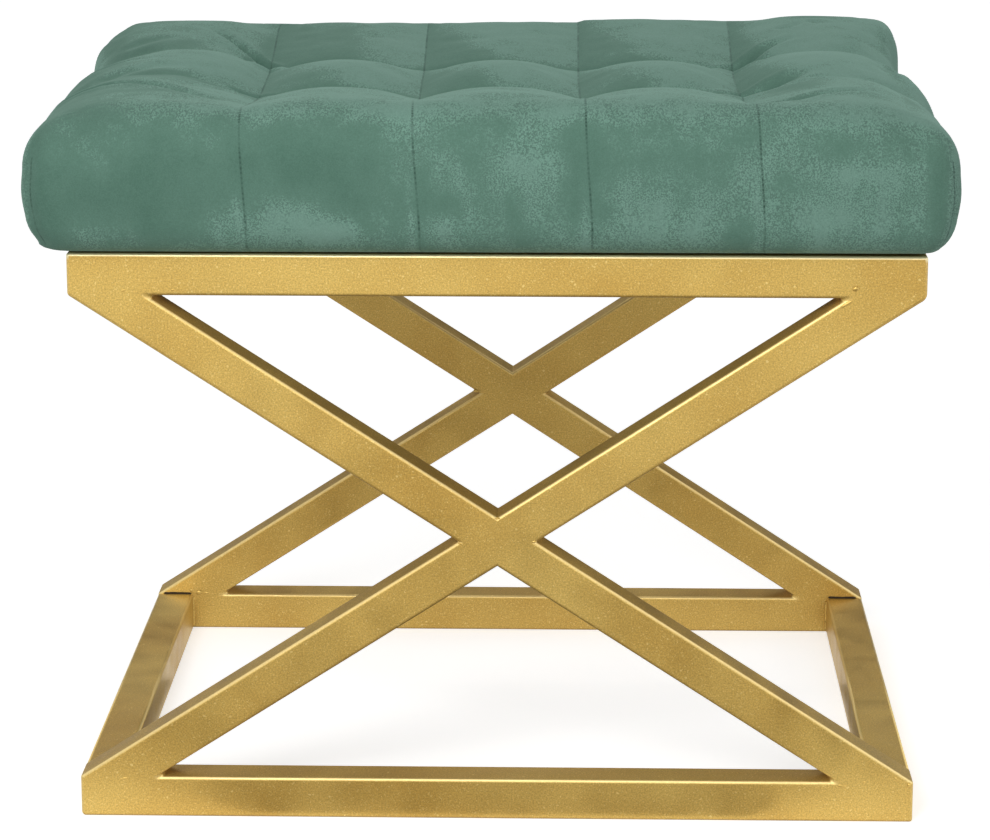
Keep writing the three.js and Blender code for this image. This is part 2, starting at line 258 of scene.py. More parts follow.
def gold_material():
    """Gold metal-flake powder coat: orange peel, fine flakes painted pale as glints, painted highlights on
    the upper edges and painted shade on the lower edges. A point value is 1 on the edges of the tubes."""
    coat = Nodes("gold_powder_coat")
    place = coat.place()
    clouds = coat.noise(place, 11.0, 3.0)
    colour = coat.ramp(clouds, (0.3, linear(194, 157, 76)), (0.7, linear(212, 180, 98)))
    grain = coat.noise(place, 1000.0, 3.0, 0.8)
    shade = coat.ramp(grain, (0.35, (0.72, 0.7, 0.66)), (0.65, (1.2, 1.2, 1.2)))
    colour = coat.mix(1.0, colour, shade, "MULTIPLY")
    # Pale flakes: real flakes of the coat, painted near white as glints
    for scale, rarest, strength in ((1000.0, 0.988, 0.5), (1900.0, 0.93, 0.45)):
        flakes = coat.add("TexVoronoi", "Color", {"Vector": place, "Scale": scale})
        chance = coat.add("SeparateColor", "Red", {"Color": flakes})
        colour = coat.mix(coat.level(chance, rarest, 1.0, 0.0, strength), colour, linear(250, 228, 150))
    # Painted highlight on edges that face up and painted shade on edges that face down, with a brighter
    # painted highlight along the upper edge of the top rails
    painted_edge_mask = coat.attribute("painted_edge_mask")
    upward = coat.part(coat.add("NewGeometry", "Normal", {}), "Z")
    top_edge_highlight = coat.level(coat.part(place, "Z"), FRAME_TOP - 4 * mm, FRAME_TOP - 2 * mm, 0.0, 0.85)
    for edge, share, tint in (
        (painted_edge_mask, coat.level(upward, -0.2, 0.7, 0.0, 0.75), linear(255, 232, 165)),
        (painted_edge_mask, coat.level(upward, -0.2, -0.8, 0.0, 0.6), linear(96, 72, 34)),
        (coat.math("POWER", painted_edge_mask, 0.6), top_edge_highlight, linear(255, 244, 200)),
    ):
        colour = coat.mix(coat.times(edge, share), colour, tint)
    peel = coat.bump(coat.noise(place, 420.0, 2.0), 0.05 * mm, 0.6)
    return coat.surface({
        "Base Color": colour,
        "Metallic": 0.55,
        "Roughness": coat.level(coat.noise(place, 45.0, 3.0), 0.3, 0.7, 0.34, 0.48),
        "Normal": coat.bump(coat.noise(place, 30.0, 1.0), 0.2 * mm, 0.5, Normal=peel),
    })


def seam_distance(nodes):
    """Distance from the nearest of the four evenly spaced seams, folded out of the flat x."""
    gap = nodes.attribute("flat_x")
    for fold in (0.0, SEAM_GAP, SEAM_GAP / 2):
        gap = nodes.math("ABSOLUTE", nodes.math("SUBTRACT", gap, fold))
    return gap


def stitches(nodes, place):
    """1 in the needle holes and 0.55 between them, about every three millimetres along a seam."""
    path = nodes.math("ADD", nodes.part(place, "Y"), nodes.part(place, "Z"))
    wave = nodes.math("SINE", nodes.times(path, 2 * math.pi / STITCH))
    return nodes.level(wave, -0.4, 0.8, 0.55, 1.0)


def velvet_material():
    """Short-pile velvet: light and dark patches with speckled borders, from the brushed pile and from painted
    shade and light, and a soft sheen. A point value gives how light the pile is, brushed pile and painted
    shade together, and `corner` how far a point is from a corner seam."""
    cloth = Nodes("green_velvet")
    place = cloth.place()
    brushed = cloth.stretched(place, (1.0, 0.35, 1.0))
    patches = cloth.noise(cloth.stretched(place, (1.0, 1.0, 0.7)), 42.0, 4.0, 0.62)
    speckle = cloth.noise(brushed, 1000.0, 1.0, 0.8)
    tufts = cloth.noise(brushed, 420.0, 3.0, 0.8)
    nap_and_shade = cloth.math("ADD", cloth.attribute("pile_lay_and_shade"), cloth.centred(patches, 0.72))
    nap_and_shade = cloth.math("ADD", nap_and_shade, cloth.centred(tufts, 0.3))
    colour = cloth.ramp(nap_and_shade, (0.1, linear(76, 109, 95)), (0.38, linear(85, 118, 104)),
                        (0.64, linear(103, 136, 123)), (0.9, linear(110, 142, 130)))
    from_border = cloth.math("ABSOLUTE", cloth.centred(cloth.level(nap_and_shade, 0.38, 0.66), 2.0))
    near_border = cloth.level(from_border, 0.1, 1.0, 0.52, 0.08)
    grains = cloth.times(near_border, cloth.level(speckle, 0.42, 0.58, -0.5, 0.5))
    colour = cloth.mix(1.0, colour, cloth.math("ADD", grains, 1.0), "MULTIPLY")
    fibres = cloth.noise(place, 1500.0, 2.0)
    shade = cloth.ramp(fibres, (0.3, [0.92] * 3), (0.7, [1.05] * 3))
    colour = cloth.mix(1.0, colour, shade, "MULTIPLY")
    # Dark seam lines and darker needle holes: the seams' own dark joint, with painted shade in their grooves
    gap = cloth.math("MINIMUM", seam_distance(cloth), cloth.attribute("corner"))
    faint = cloth.level(cloth.noise(place, 70.0, 2.0), 0.35, 0.65, 0.25, 0.85)
    line = cloth.times(cloth.level(gap, 0.3 * mm, 0.85 * mm, 1.0, 0.0), faint)
    line = cloth.times(line, stitches(cloth, place))
    pile = cloth.math("ADD", fibres, cloth.times(speckle, 0.6))
    return cloth.surface({
        "Base Color": cloth.mix(line, colour, linear(40, 62, 53)),
        "Roughness": 0.9,
        "Specular IOR Level": 0.2,
        "Sheen Weight": 0.22,
        "Sheen Roughness": 0.45,
        "Sheen Tint": linear(165, 205, 190),
        "Normal": cloth.bump(pile, 0.2 * mm, 0.5),
    })


def plain_material(name, colour, roughness, metallic, grain, depth, contrast=0.8):
    """Colour and grain both vary with one noise, fine enough for the part that it is on."""
    plain = Nodes(name)
    grains = plain.noise(plain.place(), grain, 4.0)
    dark = [c * contrast for c in colour]
    return plain.surface({
        "Base Color": plain.ramp(grains, (0.35, dark), (0.65, colour)),
        "Metallic": metallic,
        "Roughness": plain.level(grains, 0.3, 0.7, roughness - 0.06, roughness + 0.06),
        "Normal": plain.bump(grains, depth * mm, 0.5),
    })


def plywood_material():
    """Rotary-cut veneer: long grain along X, with glue lines on the edges."""
    wood = Nodes("plywood")
    place = wood.place()
    grain = wood.noise(wood.stretched(place, (1.0, 14.0, 14.0)), 14.0, 6.0, 0.65)
    colour = wood.ramp(grain, (0.3, linear(176, 140, 96)), (0.7, linear(214, 184, 140)))
    inputs = {"Vector": place, "Scale": 110.0, "Distortion": 1.0}
    plies = wood.add("TexWave", "Fac", inputs, bands_direction="Z")
    return wood.surface({
        "Base Color": wood.mix(wood.level(plies, 0.0, 1.0, 0.0, 0.25), colour, linear(120, 86, 54)),
        "Roughness": 0.7,
        "Normal": wood.bump(grain, 0.2 * mm, 0.4),
    })


def dust_cloth_material():
    """Black spun-bonded cloth with its fine grid of heat-set points."""
    cloth = Nodes("dust_cloth")
    place = cloth.place()
    fibres = cloth.noise(place, 320.0, 5.0, 0.7)
    colour = cloth.ramp(fibres, (0.3, linear(26, 26, 27)), (0.7, linear(50, 50, 52)))
    points = cloth.add("TexVoronoi", "Distance", {"Vector": place, "Scale": 700.0, "Randomness": 0.0})
    dents = cloth.level(points, 0.1, 0.35)
    return cloth.surface({
        "Base Color": cloth.mix(dents, linear(20, 20, 21), colour),
        "Roughness": 0.8,
        "Normal": cloth.bump(fibres, 0.15 * mm, 0.5, Normal=cloth.bump(dents, 0.1 * mm, 0.5)),
    })


# Welded X frames: the rails and diagonals of one end as a single ground and coated outline

EDGE_RADIUS = 1.9 * mm
LEAST_RADIUS = 0.4 * mm
NOTCH_RADIUS = 0.5 * mm
WELD_RADIUS = 1.4 * mm
END_RADIUS = 1.8 * mm
LEFT_FOOT_RADIUS = 2.6 * mm
TOP_LEFT_RADIUS = 3.0 * mm
TOP_RIGHT_RADIUS = 5.5 * mm
EDGE_STEPS = 5
CORNER_STEPS = 6
NOTCH_LIMIT = 1.5 * mm
FRONT_CROSSING_SHIFT = 0.8 * mm
REAR_CROSSING_SHIFT = -2.2 * mm
WELD_BITE = 2.0 * mm
RIPPLE = 2.4 * mm
BEAD_RADIUS = 1.8 * mm
UNDER_BEAD_RADIUS = 1.5 * mm
BEAD_OUT = 0.4 * mm
BEAD_SHORT = 1.5 * mm
BEAD_END = 4 * mm
UNDER_BEAD_LIFT = 0.6 * mm
WOBBLE = 0.25 * mm
WOBBLE_LENGTH = 6 * mm
GAP_RADIUS = 0.75 * mm
GAP_RIPPLE = 5 * mm


def filleted(corners):
    """Points of a closed outline of (x, z, radius) corners, with a flag where a point starts an arc."""
    points, curved = [], []
    count = len(corners)
    for k, (x, z, radius) in enumerate(corners):
        here = Vector((x, z))
        before = (Vector(corners[k - 1][:2]) - here).normalized()
        after = (Vector(corners[(k + 1) % count][:2]) - here).normalized()
        half = math.acos(max(-1, min(1, before.dot(after)))) / 2
        middle = here + (before + after).normalized() * radius / math.sin(half)
        reach = radius / math.tan(half)
        start, end = here + before * reach - middle, here + after * reach - middle
        turn = start.angle_signed(end)
        for step in range(CORNER_STEPS + 1):
            angle = -turn * step / CORNER_STEPS
            cos, sin = math.cos(angle), math.sin(angle)
            points.append(middle + Vector((start.x * cos - start.y * sin, start.x * sin + start.y * cos)))
            curved.append(step < CORNER_STEPS)
    return points, curved


def inset_loop(points, distance):
    """The outline moved to its left by `distance`: inwards for a counter-clockwise one."""
    moved = []
    count = len(points)
    for k, point in enumerate(points):
        first = (point - points[k - 1]).normalized()
        second = (points[(k + 1) % count] - point).normalized()
        normals = Vector((-first.y, first.x)), Vector((-second.y, second.x))
        middle = (normals[0] + normals[1]).normalized()
        moved.append(point + middle * distance / middle.dot(normals[0]))
    return moved


def rounded_loop(corners, distance):
    """The outline with its sides moved inwards by `distance` and its corners rounded after that."""
    moved = inset_loop([Vector((x, z)) for x, z, _ in corners], distance)
    rounded = []
    for point, (_, _, radius) in zip(moved, corners):
        smaller = max(radius - distance, LEAST_RADIUS)
        rounded.append((point.x, point.y, radius if radius < NOTCH_LIMIT else smaller))
    return filleted(rounded)


def outline_corners(shift):
    """Corners of the outside and the two triangular openings, as (x, z, radius). The diagonals cross
    `shift` to the right of the middle."""
    rise = FRAME_TOP - 2 * TUBE
    middle = FRAME_TOP / 2
    angle = math.atan2(rise, 2 * HALF_WIDTH) + math.asin(TUBE / math.hypot(rise, 2 * HALF_WIDTH))
    notch = TUBE / 2 / math.sin(angle)
    peak = TUBE / 2 / math.cos(angle)
    foot = (rise / 2 - peak) / math.tan(angle)
    w, t, h = HALF_WIDTH, TUBE, FRAME_TOP
    outside = [
        (-w, 0, LEFT_FOOT_RADIUS), (w, 0, END_RADIUS), (w, t, END_RADIUS),
        (notch + shift, middle, NOTCH_RADIUS), (w, h - t, TOP_RIGHT_RADIUS), (w, h, END_RADIUS),
        (-w, h, END_RADIUS), (-w, h - t, TOP_LEFT_RADIUS), (-notch + shift, middle, NOTCH_RADIUS),
        (-w, t, END_RADIUS),
    ]
    upper = [(shift, middle + peak, NOTCH_RADIUS), (-foot, h - t, WELD_RADIUS), (foot, h - t, WELD_RADIUS)]
    lower = [(shift, middle - peak, NOTCH_RADIUS), (foot, t, WELD_RADIUS), (-foot, t, WELD_RADIUS)]
    return [outside, upper, lower]


def add_x_frame(end, turn, shift, gold):
    """Front or rear frame: every edge is rounded and the joints are ground flush, as on the real one."""
    near, far = HALF_DEPTH, HALF_DEPTH - TUBE
    rings = []
    for step in range(EDGE_STEPS + 1):
        angle = step / EDGE_STEPS * math.pi / 2
        rings.append((EDGE_RADIUS * (1 - math.sin(angle)), near - EDGE_RADIUS * (1 - math.cos(angle))))
    rings += [(distance, near + far - y) for distance, y in reversed(rings)]
    mesh = bmesh.new()
    # 1 on the edges: the mask for the painted edge highlights and shade
    painted_edge_mask = mesh.verts.layers.float.new("painted_edge_mask")
    faces_loops = {0: [], len(rings) - 1: []}
    for corners in outline_corners(shift):
        loops = []
        for k, (distance, y) in enumerate(rings):
            points, curved = rounded_loop(corners, distance)
            loops.append([mesh.verts.new((turn * p.x, -turn * y, p.y)) for p in points])
            for vertex in loops[-1]:
                vertex[painted_edge_mask] = math.sin(math.pi * min(k, len(rings) - 1 - k) / EDGE_STEPS)
        count = len(points)
        for k in range(len(rings) - 1):
            flat_side = k == EDGE_STEPS
            for j in range(count):
                i = (j + 1) % count
                face = mesh.faces.new((loops[k][j], loops[k][i], loops[k + 1][i], loops[k + 1][j]))
                face.smooth = not flat_side or curved[j]
        for k in faces_loops:
            faces_loops[k].append(loops[k])
    for loops in faces_loops.values():
        flat = [vertex for loop in loops for vertex in loop]
        for corners in tessellate_polygon([[Vector((v.co.x, v.co.z, 0)) for v in loop] for loop in loops]):
            mesh.faces.new([flat[k] for k in corners])
    bmesh.ops.recalc_face_normals(mesh, faces=mesh.faces)
    data = bpy.data.meshes.new(f"{end}_x_frame")
    mesh.to_mesh(data)
    mesh.free()
    nodes = [f"{end}_{part}_diagonal" for part in ("long", "upper_half", "lower_half")]
    for level in ("top", "bottom"):
        rail = f"{end}_{level}_rail"
        nodes += [rail, f"{rail}_left_end_plate", f"{rail}_right_end_plate"]
    finished(new_object(f"{end}_x_frame", data), gold, "gold_steel", *nodes)


def tube_profile(size, radius):
    reach = size / 2 - radius
    points = []
    for corner, (x, y) in enumerate(((1, 1), (-1, 1), (-1, -1), (1, -1))):
        for step in range(EDGE_STEPS + 1):
            angle = (corner + step / EDGE_STEPS) * math.pi / 2
            points.append((x * reach + radius * math.cos(angle), y * reach + radius * math.sin(angle)))
    return points


def add_side_rail(side, sign, level, z, gold):
    """A tube between the two X frames, let a little into them where it is welded."""
    reach = HALF_DEPTH - TUBE + WELD_BITE
    x = sign * (HALF_WIDTH - TUBE / 2)
    profile = tube_profile(TUBE, EDGE_RADIUS)
    count = len(profile)
    vertices = [Vector((x + u, y, z + v)) for y in (-reach, reach) for u, v in profile]
    faces = [(k, k + count, (k + 1) % count + count, (k + 1) % count) for k in range(count)]
    faces += [tuple(range(count)), tuple(reversed(range(count, 2 * count)))]
    node = f"{side}_{level}_side_rail"
    bar = mesh_object(f"{node}_coated", vertices, faces)
    flat = [k % (EDGE_STEPS + 1) != EDGE_STEPS for k in range(count)] + [False, False]
    bar.data.polygons.foreach_set("use_smooth", flat)
    # 1 on the edges: the mask for the painted edge highlights and shade
    painted_edge_mask = [math.sin(math.pi * (k % (EDGE_STEPS + 1)) / EDGE_STEPS) for k in range(count)]
    write_values(bar.data, "painted_edge_mask", painted_edge_mask + painted_edge_mask)
    finished(bar, gold, "gold_steel", node)


# The four corners of the frame, as the signs of x and y
CORNERS = [(x, y) for x in (-1, 1) for y in (-1, 1)]


def weld_bead(start, end, radius, pitch, seed):
    """A fillet weld: overlapping ripples between two points, rounded off at both ends."""
    length = (end - start).length
    count = max(int(length / pitch * 4), 6)
    points, radii = [], []
    for k in range(count + 1):
        share = k / count
        wobble = noise.noise_vector(Vector((seed, share * length / WOBBLE_LENGTH, 0))) * WOBBLE
        ripple = 1 + 0.1 * abs(math.sin(share * length / pitch * math.pi))
        cap = math.sqrt(max(1 - max(1 - min(share, 1 - share) * length / radius, 0) ** 2, 0.02))
        points.append(start.lerp(end, share) + wobble)
        radii.append(radius * ripple * cap)
    return swept(points, radii)


def add_welds(gold):
    """Beads in the upright corners where the side rails meet the X frames, and under the top rails."""
    parts = []
    for sign, turn in CORNERS:
        y = turn * (HALF_DEPTH - TUBE + BEAD_OUT)
        x = sign * (HALF_WIDTH - TUBE + BEAD_OUT)
        for level, z in (("bottom", 0.0), ("top", FRAME_TOP - TUBE)):
            low, high = Vector((x, y, z + BEAD_SHORT)), Vector((x, y, z + TUBE - BEAD_SHORT))
            seed = sign * 7 + turn * 3 + (level == "top") * 11
            parts.append(weld_bead(low, high, BEAD_RADIUS, RIPPLE, seed))
        under = FRAME_TOP - TUBE + UNDER_BEAD_LIFT
        start, end = Vector((x, y, under)), Vector((sign * (HALF_WIDTH - BEAD_END), y, under))
        parts.append(weld_bead(start, end, UNDER_BEAD_RADIUS, RIPPLE, seed))
    finished(joined("side_rail_weld_beads", parts), gold, "gold_steel")


def add_gap_shadow_rods(gap_shadow):
    """Painted shadow: dark rods lying in the narrow seam left open where the X frames stand over the ends of
    the bottom side rails.
    """
    parts = []
    for sign, turn in CORNERS:
        y = turn * (HALF_DEPTH - TUBE)
        start = Vector((sign * (HALF_WIDTH - TUBE + 1 * mm), y, TUBE + 0.5 * mm))
        end = Vector((sign * (HALF_WIDTH - BEAD_END), y, TUBE + 0.6 * mm))
        parts.append(weld_bead(start, end, GAP_RADIUS, GAP_RIPPLE, sign + 2 * turn))
    finished(joined("side_rail_gap_shadow_rods", parts), gap_shadow, "gold_steel")


# Lumps and smears of weld that grinding left, in millimetres: (x, z, long, high, tilt in degrees) on the
# outer face of an X frame, and on its inner face beside a bottom side rail
OUTER_WELD_ENDS = [
    (208.5, 326.0, 2.2, 1.5, 20), (203.5, 317.0, 4.4, 1.0, 33), (-188.2, 323.4, 0.9, 0.7, 0),
    (-217.0, 323.0, 1.6, 0.7, 20), (247.4, 23.4, 1.7, 1.5, 60), (240.5, 27.0, 2.4, 1.0, -33),
    (220.7, 25.2, 0.9, 0.8, 0), (208.0, 22.6, 3.4, 1.0, -8), (-224.0, 24.0, 2.8, 0.7, 10),
    (22.5, 173.0, 1.8, 0.6, 15), (-21.0, 171.5, 1.5, 0.6, -20), (1.0, 187.2, 1.3, 0.6, 0),
]
INNER_WELD_ENDS = [
    (226.2, 27.6, 1.6, 1.5, 40), (220.8, 26.2, 2.6, 1.7, -10), (215.5, 25.8, 2.4, 0.9, -5),
    (224.6, 22.0, 1.5, 1.3, 70), (226.5, 15.0, 1.2, 1.8, 10), (23.6, 174.4, 1.6, 1.2, 30),
]


def add_weld_ends(gold):
    """Small flattened lumps of weld, sunk into the faces that they were ground on."""
    parts = []
    outer_face, inner_face = HALF_DEPTH - 0.1 * mm, HALF_DEPTH - TUBE + 0.1 * mm
    for turn in (-1, 1):
        for places, depth in ((OUTER_WELD_ENDS, outer_face), (INNER_WELD_ENDS, inner_face)):
            for x, z, half_length, half_height, tilt in places:
                centre = Vector((-turn * x * mm, turn * depth, z * mm))
                angle = math.radians(tilt)
                along = Vector((-turn * math.cos(angle), 0, math.sin(angle))) * half_length * mm
                points = [centre + along * share for share in (-1, -0.8, -0.4, 0, 0.4, 0.8, 1)]
                radii = [half_height * mm * share for share in (0.15, 0.6, 0.9, 1, 0.95, 0.6, 0.15)]
                parts.append(swept(points, radii, squash=0.55, up=Vector((0, 1, 0))))
    finished(joined("ground_weld_ends", parts), gold, "gold_steel")


# Seat: the cushion's outer skin, grid lines first

ROLL_OUT = 33 * mm
ROLL_DROP = 31 * mm
ROLL_POWER = 2.4
REAR_ROLL_POWER = 3.6
UNDER_RADIUS = 22 * mm
UNDER_POWER = 2.15
OVERHANG_LIFT = 0.2 * mm
OVERHANG_SLOPE = 0.0014
BULGE = 0.8 * mm
WIDER = 0.5 * mm
HEM = 22 * mm
CLOTH = 1.5 * mm
SNUG = 0.3 * mm
# Spacing of the grid, lines beside each seam, and steps down the roll, the wall and under it
FINE = (3.2 * mm, (0.0, 0.8 * mm, 2.0 * mm, 4.0 * mm), (14, 12, 10))
COARSE = (7.5 * mm, (0.0, 4.0 * mm), (7, 5, 4))
CORNER_FAN = 8
FAR = 0.1

# Heights of the sewn top in millimetres, from left to right as (x, z)
FRONT_EDGE = [(-237, 433), (-190, 432.5), (-150, 428.5), (-100, 432), (-48, 433), (52, 434.6), (100, 433.6),
              (150, 430.5), (190, 432.5), (237, 433)]
FRONT_CREST = [(-237, 432.2), (-150, 431.8), (-60, 433.0), (60, 433.6), (150, 432.4), (237, 431.6)]
MIDDLE_CREST = [(-237, 429.0), (-150, 428.5), (150, 428.5), (237, 428.5)]
REAR_EDGE = [(-237, 432.2), (-200, 431.2), (-150, 430.0), (-98, 430.6), (-49, 430.6), (0, 431.4), (48, 431.4),
             (53, 433.0), (98, 433.2), (147, 432.4), (190, 434.0), (237, 436.0)]
REAR_FULLNESS = 1.0 * mm
CHANNEL = 418.0
CHANNEL_END_RISE = 8.5
FRONT_TUFT = 414.5
REAR_TUFT = 415.7
MIDDLE_SEAM = 416.5
CHANNEL_REACH = 50 * mm
# Grooves down the sides: along a seam at its top and foot, at the ends of the rows, and in the corners
SEAM_GROOVE, SEAM_GROOVE_FOOT = 2.4 * mm, 1.5 * mm
ROW_GROOVE, ROW_GROOVE_REACH = 2.5 * mm, 50 * mm
CORNER_GROOVE, CORNER_GROOVE_REACH = 1.2 * mm, 2.5 * mm
# Squareness of the corners seen from above
FRONT_CORNER_POWER, REAR_CORNER_POWER = 3.6, 4.5
# The corner seams end at this height
CORNER_SEAM_TOP = 0.402

half_x = cover_high.x + WIDER
half_y = cover_high.y
edge_x = half_x - ROLL_OUT
edge_y = half_y - ROLL_OUT
bottom_z = cover_low.z


def grid_lines(lines, edge, spacing, close):
    """Evenly spread values out to both edges, closer together beside each quilting line."""
    anchors = sorted({round(line + sign * gap, 6) for line in lines for gap in close for sign in (-1, 1)})
    anchors = [-edge, *anchors, edge]
    values = []
    for low, high in zip(anchors, anchors[1:]):
        steps = max(math.ceil((high - low) / spacing - 0.2), 1)
        values += [low + (high - low) * k / steps for k in range(steps)]
    return np.array([*values, edge])


def nearest(values, lines):
    return np.min([np.abs(values - line) for line in lines], axis=0)


def smooth(values, low, high):
    share = np.clip((values - low) / (high - low), 0, 1)
    return share * share * (3 - 2 * share)


def from_seams(x):
    """0 on a sewn seam and 1 in the middle of a biscuit."""
    return np.clip(nearest(x, SEAMS) / (SEAM_GAP / 2), 0, 1)


def sewn_dip(x):
    """1 on a sewn seam, falling along a parabola to 0 in the middle of a biscuit."""
    return (1 - from_seams(x)) ** 2


def along(x, stations):
    """The height in metres at x on a list of (x, z) in millimetres."""
    places, heights = zip(*stations)
    return np.interp(x, np.array(places) * mm, np.array(heights) * mm)


def top_height(x, y):
    """Biscuits as pillows between the sewn seams, which cross, and the channels along the tufts."""
    front, middle = y < ROWS[0], np.abs(y) <= ROWS[1]
    past_x = np.clip((np.abs(x) - SEAMS[-1]) / (edge_x - SEAMS[-1]), 0, 1)
    past_y = np.clip((np.abs(y) - ROWS[-1]) / (edge_y - ROWS[-1]), 0, 1)
    from_row = nearest(y, ROWS)
    front_edge, rear_edge = along(x, FRONT_EDGE), along(x, REAR_EDGE)
    crest = np.where(middle, along(x, MIDDLE_CREST), rear_edge - REAR_FULLNESS)
    crest = np.where(front, along(x, FRONT_CREST), crest)
    channel = (CHANNEL + CHANNEL_END_RISE * past_x**0.45) * mm
    closeness = np.exp(-from_seams(x) / 0.3)
    share = np.clip(from_row / ROWS[1], 0, 1)
    rise = np.where(middle, 1 - (1 - share) ** (2 + 2.5 * closeness),
                    1 - np.exp(-from_row / (CHANNEL_REACH * (1 - 0.6 * closeness))))
    pillow = channel + (crest - channel) * rise
    tufts = [tuft * mm for tuft in (FRONT_TUFT, MIDDLE_SEAM, REAR_TUFT)]
    seam = np.where(front, tufts[0] + (front_edge - tufts[0]) * past_y**1.1,
                    np.where(middle, np.interp(y, [ROWS[0], 0, ROWS[1]], tufts),
                             tufts[2] + (rear_edge - 0.7 * mm - tufts[2]) * past_y**0.9))
    toward_front = smooth(-y, -0.07, 0.15)
    fall = (1 + 7 * toward_front) * mm * np.clip((past_x - 0.45) / 0.55, 0, 1) ** 2
    return seam + (pillow - seam) * (1 - sewn_dip(x)) - fall


# Folds pulled by the tufts, deepest at their first point: points of (x, y), depth and width in millimetres
FOLDS = [
    ([(-148, 60), (-162, 84), (-176, 112), (-192, 152)], 6.0, 4.0),
    ([(-240, 92), (-222, 98), (-200, 104)], 1.2, 7.0),
    ([(-258, -2), (-230, 10), (-200, -10)], 1.2, 3.5),
    ([(-232, -50), (-210, -34), (-186, -40)], 1.8, 7.0),
    ([(-250, -112), (-229, -113), (-203, -130), (-180, -152), (-158, -170)], 3.6, 4.5),
    ([(-148, -62), (-166, -70), (-190, -76)], 2.0, 5.0),
    ([(149, 62), (160, 74), (174, 92), (194, 104)], 4.5, 5.5),
    ([(148, -60), (162, -57), (176, -50), (192, -38)], 5.5, 7.0),
    ([(152, -66), (176, -72), (204, -84), (222, -90)], 2.0, 6.0),
    ([(152, -188), (178, -168), (206, -148), (226, -136)], 3.2, 4.5),
    ([(266, 30), (250, 20), (243, -2), (250, -40)], 2.2, 6.0),
    ([(186, 140), (198, 158)], 1.6, 5.0),
    ([(206, 160), (214, 148)], 1.4, 5.0),
]


def fold_depth(x, y):
    """How far the folds draw the top down, with the little ridge that a fold throws up beside it."""
    total = np.zeros_like(x)
    for points, depth, width in FOLDS:
        path = np.array(points) * mm
        steps = np.linalg.norm(np.diff(path, axis=0), axis=1)
        reach = np.concatenate([[0], np.cumsum(steps)])
        best = np.full_like(x, 1.0)
        place = np.zeros_like(x)
        for start, end, length, base in zip(path, path[1:], steps, reach):
            (from_x, from_y), (run_x, run_y) = start, end - start
            share = np.clip(((x - from_x) * run_x + (y - from_y) * run_y) / length**2, 0, 1)
            gap = np.hypot(x - from_x - share * run_x, y - from_y - share * run_y)
            closer = gap < best
            place = np.where(closer, base + share * length, place)
            best = np.minimum(best, gap)
        share = best / (width * mm)
        fade = 1 - (place / reach[-1]) ** 2
        total += depth * mm * fade * (np.exp(-share**2) - 0.35 * np.exp(-((share - 1.9) / 0.8) ** 2))
    return total


class Skin:
    """Points and faces of the cushion, and each point's place before the cover leans: x, y and the
    distance along the skin from a corner seam."""

    def __init__(self):
        self.points, self.faces, self.flat = [], [], []

    def add(self, points, flat):
        start = len(self.points)
        self.points.extend(points)
        self.flat.extend(flat)
        return list(range(start, len(self.points)))

    def band(self, upper, lower):
        count = len(upper)
        for k in range(count):
            i = (k + 1) % count
            corners = (upper[k], lower[k], lower[i], upper[i])
            self.faces.append(tuple(dict.fromkeys(corners)))


def side_rings(roll_steps, wall_steps, under_steps):
    """(angle down the roll or distance out, share of the wall below it, share of the seam's pull)."""
    rings = []
    for k in range(1, roll_steps + 1):
        rings.append((k / roll_steps * math.pi / 2, 0.0, 1.0))
    for k in range(1, wall_steps + 1):
        share = k / wall_steps
        rings.append((ROLL_OUT + BULGE * math.sin(share * math.pi), share, 1.0))
    for k in range(1, under_steps + 1):
        angle = k / under_steps * math.pi / 2
        cos, sin = math.cos(angle) ** (2 / UNDER_POWER), math.sin(angle) ** (2 / UNDER_POWER)
        rings.append((ROLL_OUT - UNDER_RADIUS * (1 - cos), 1 + sin, cos))
    return rings


def rear_right(x, y):
    return float(smooth(y, -0.05, 0.2) * (0.25 + 0.75 * smooth(x, 0, 0.23)))


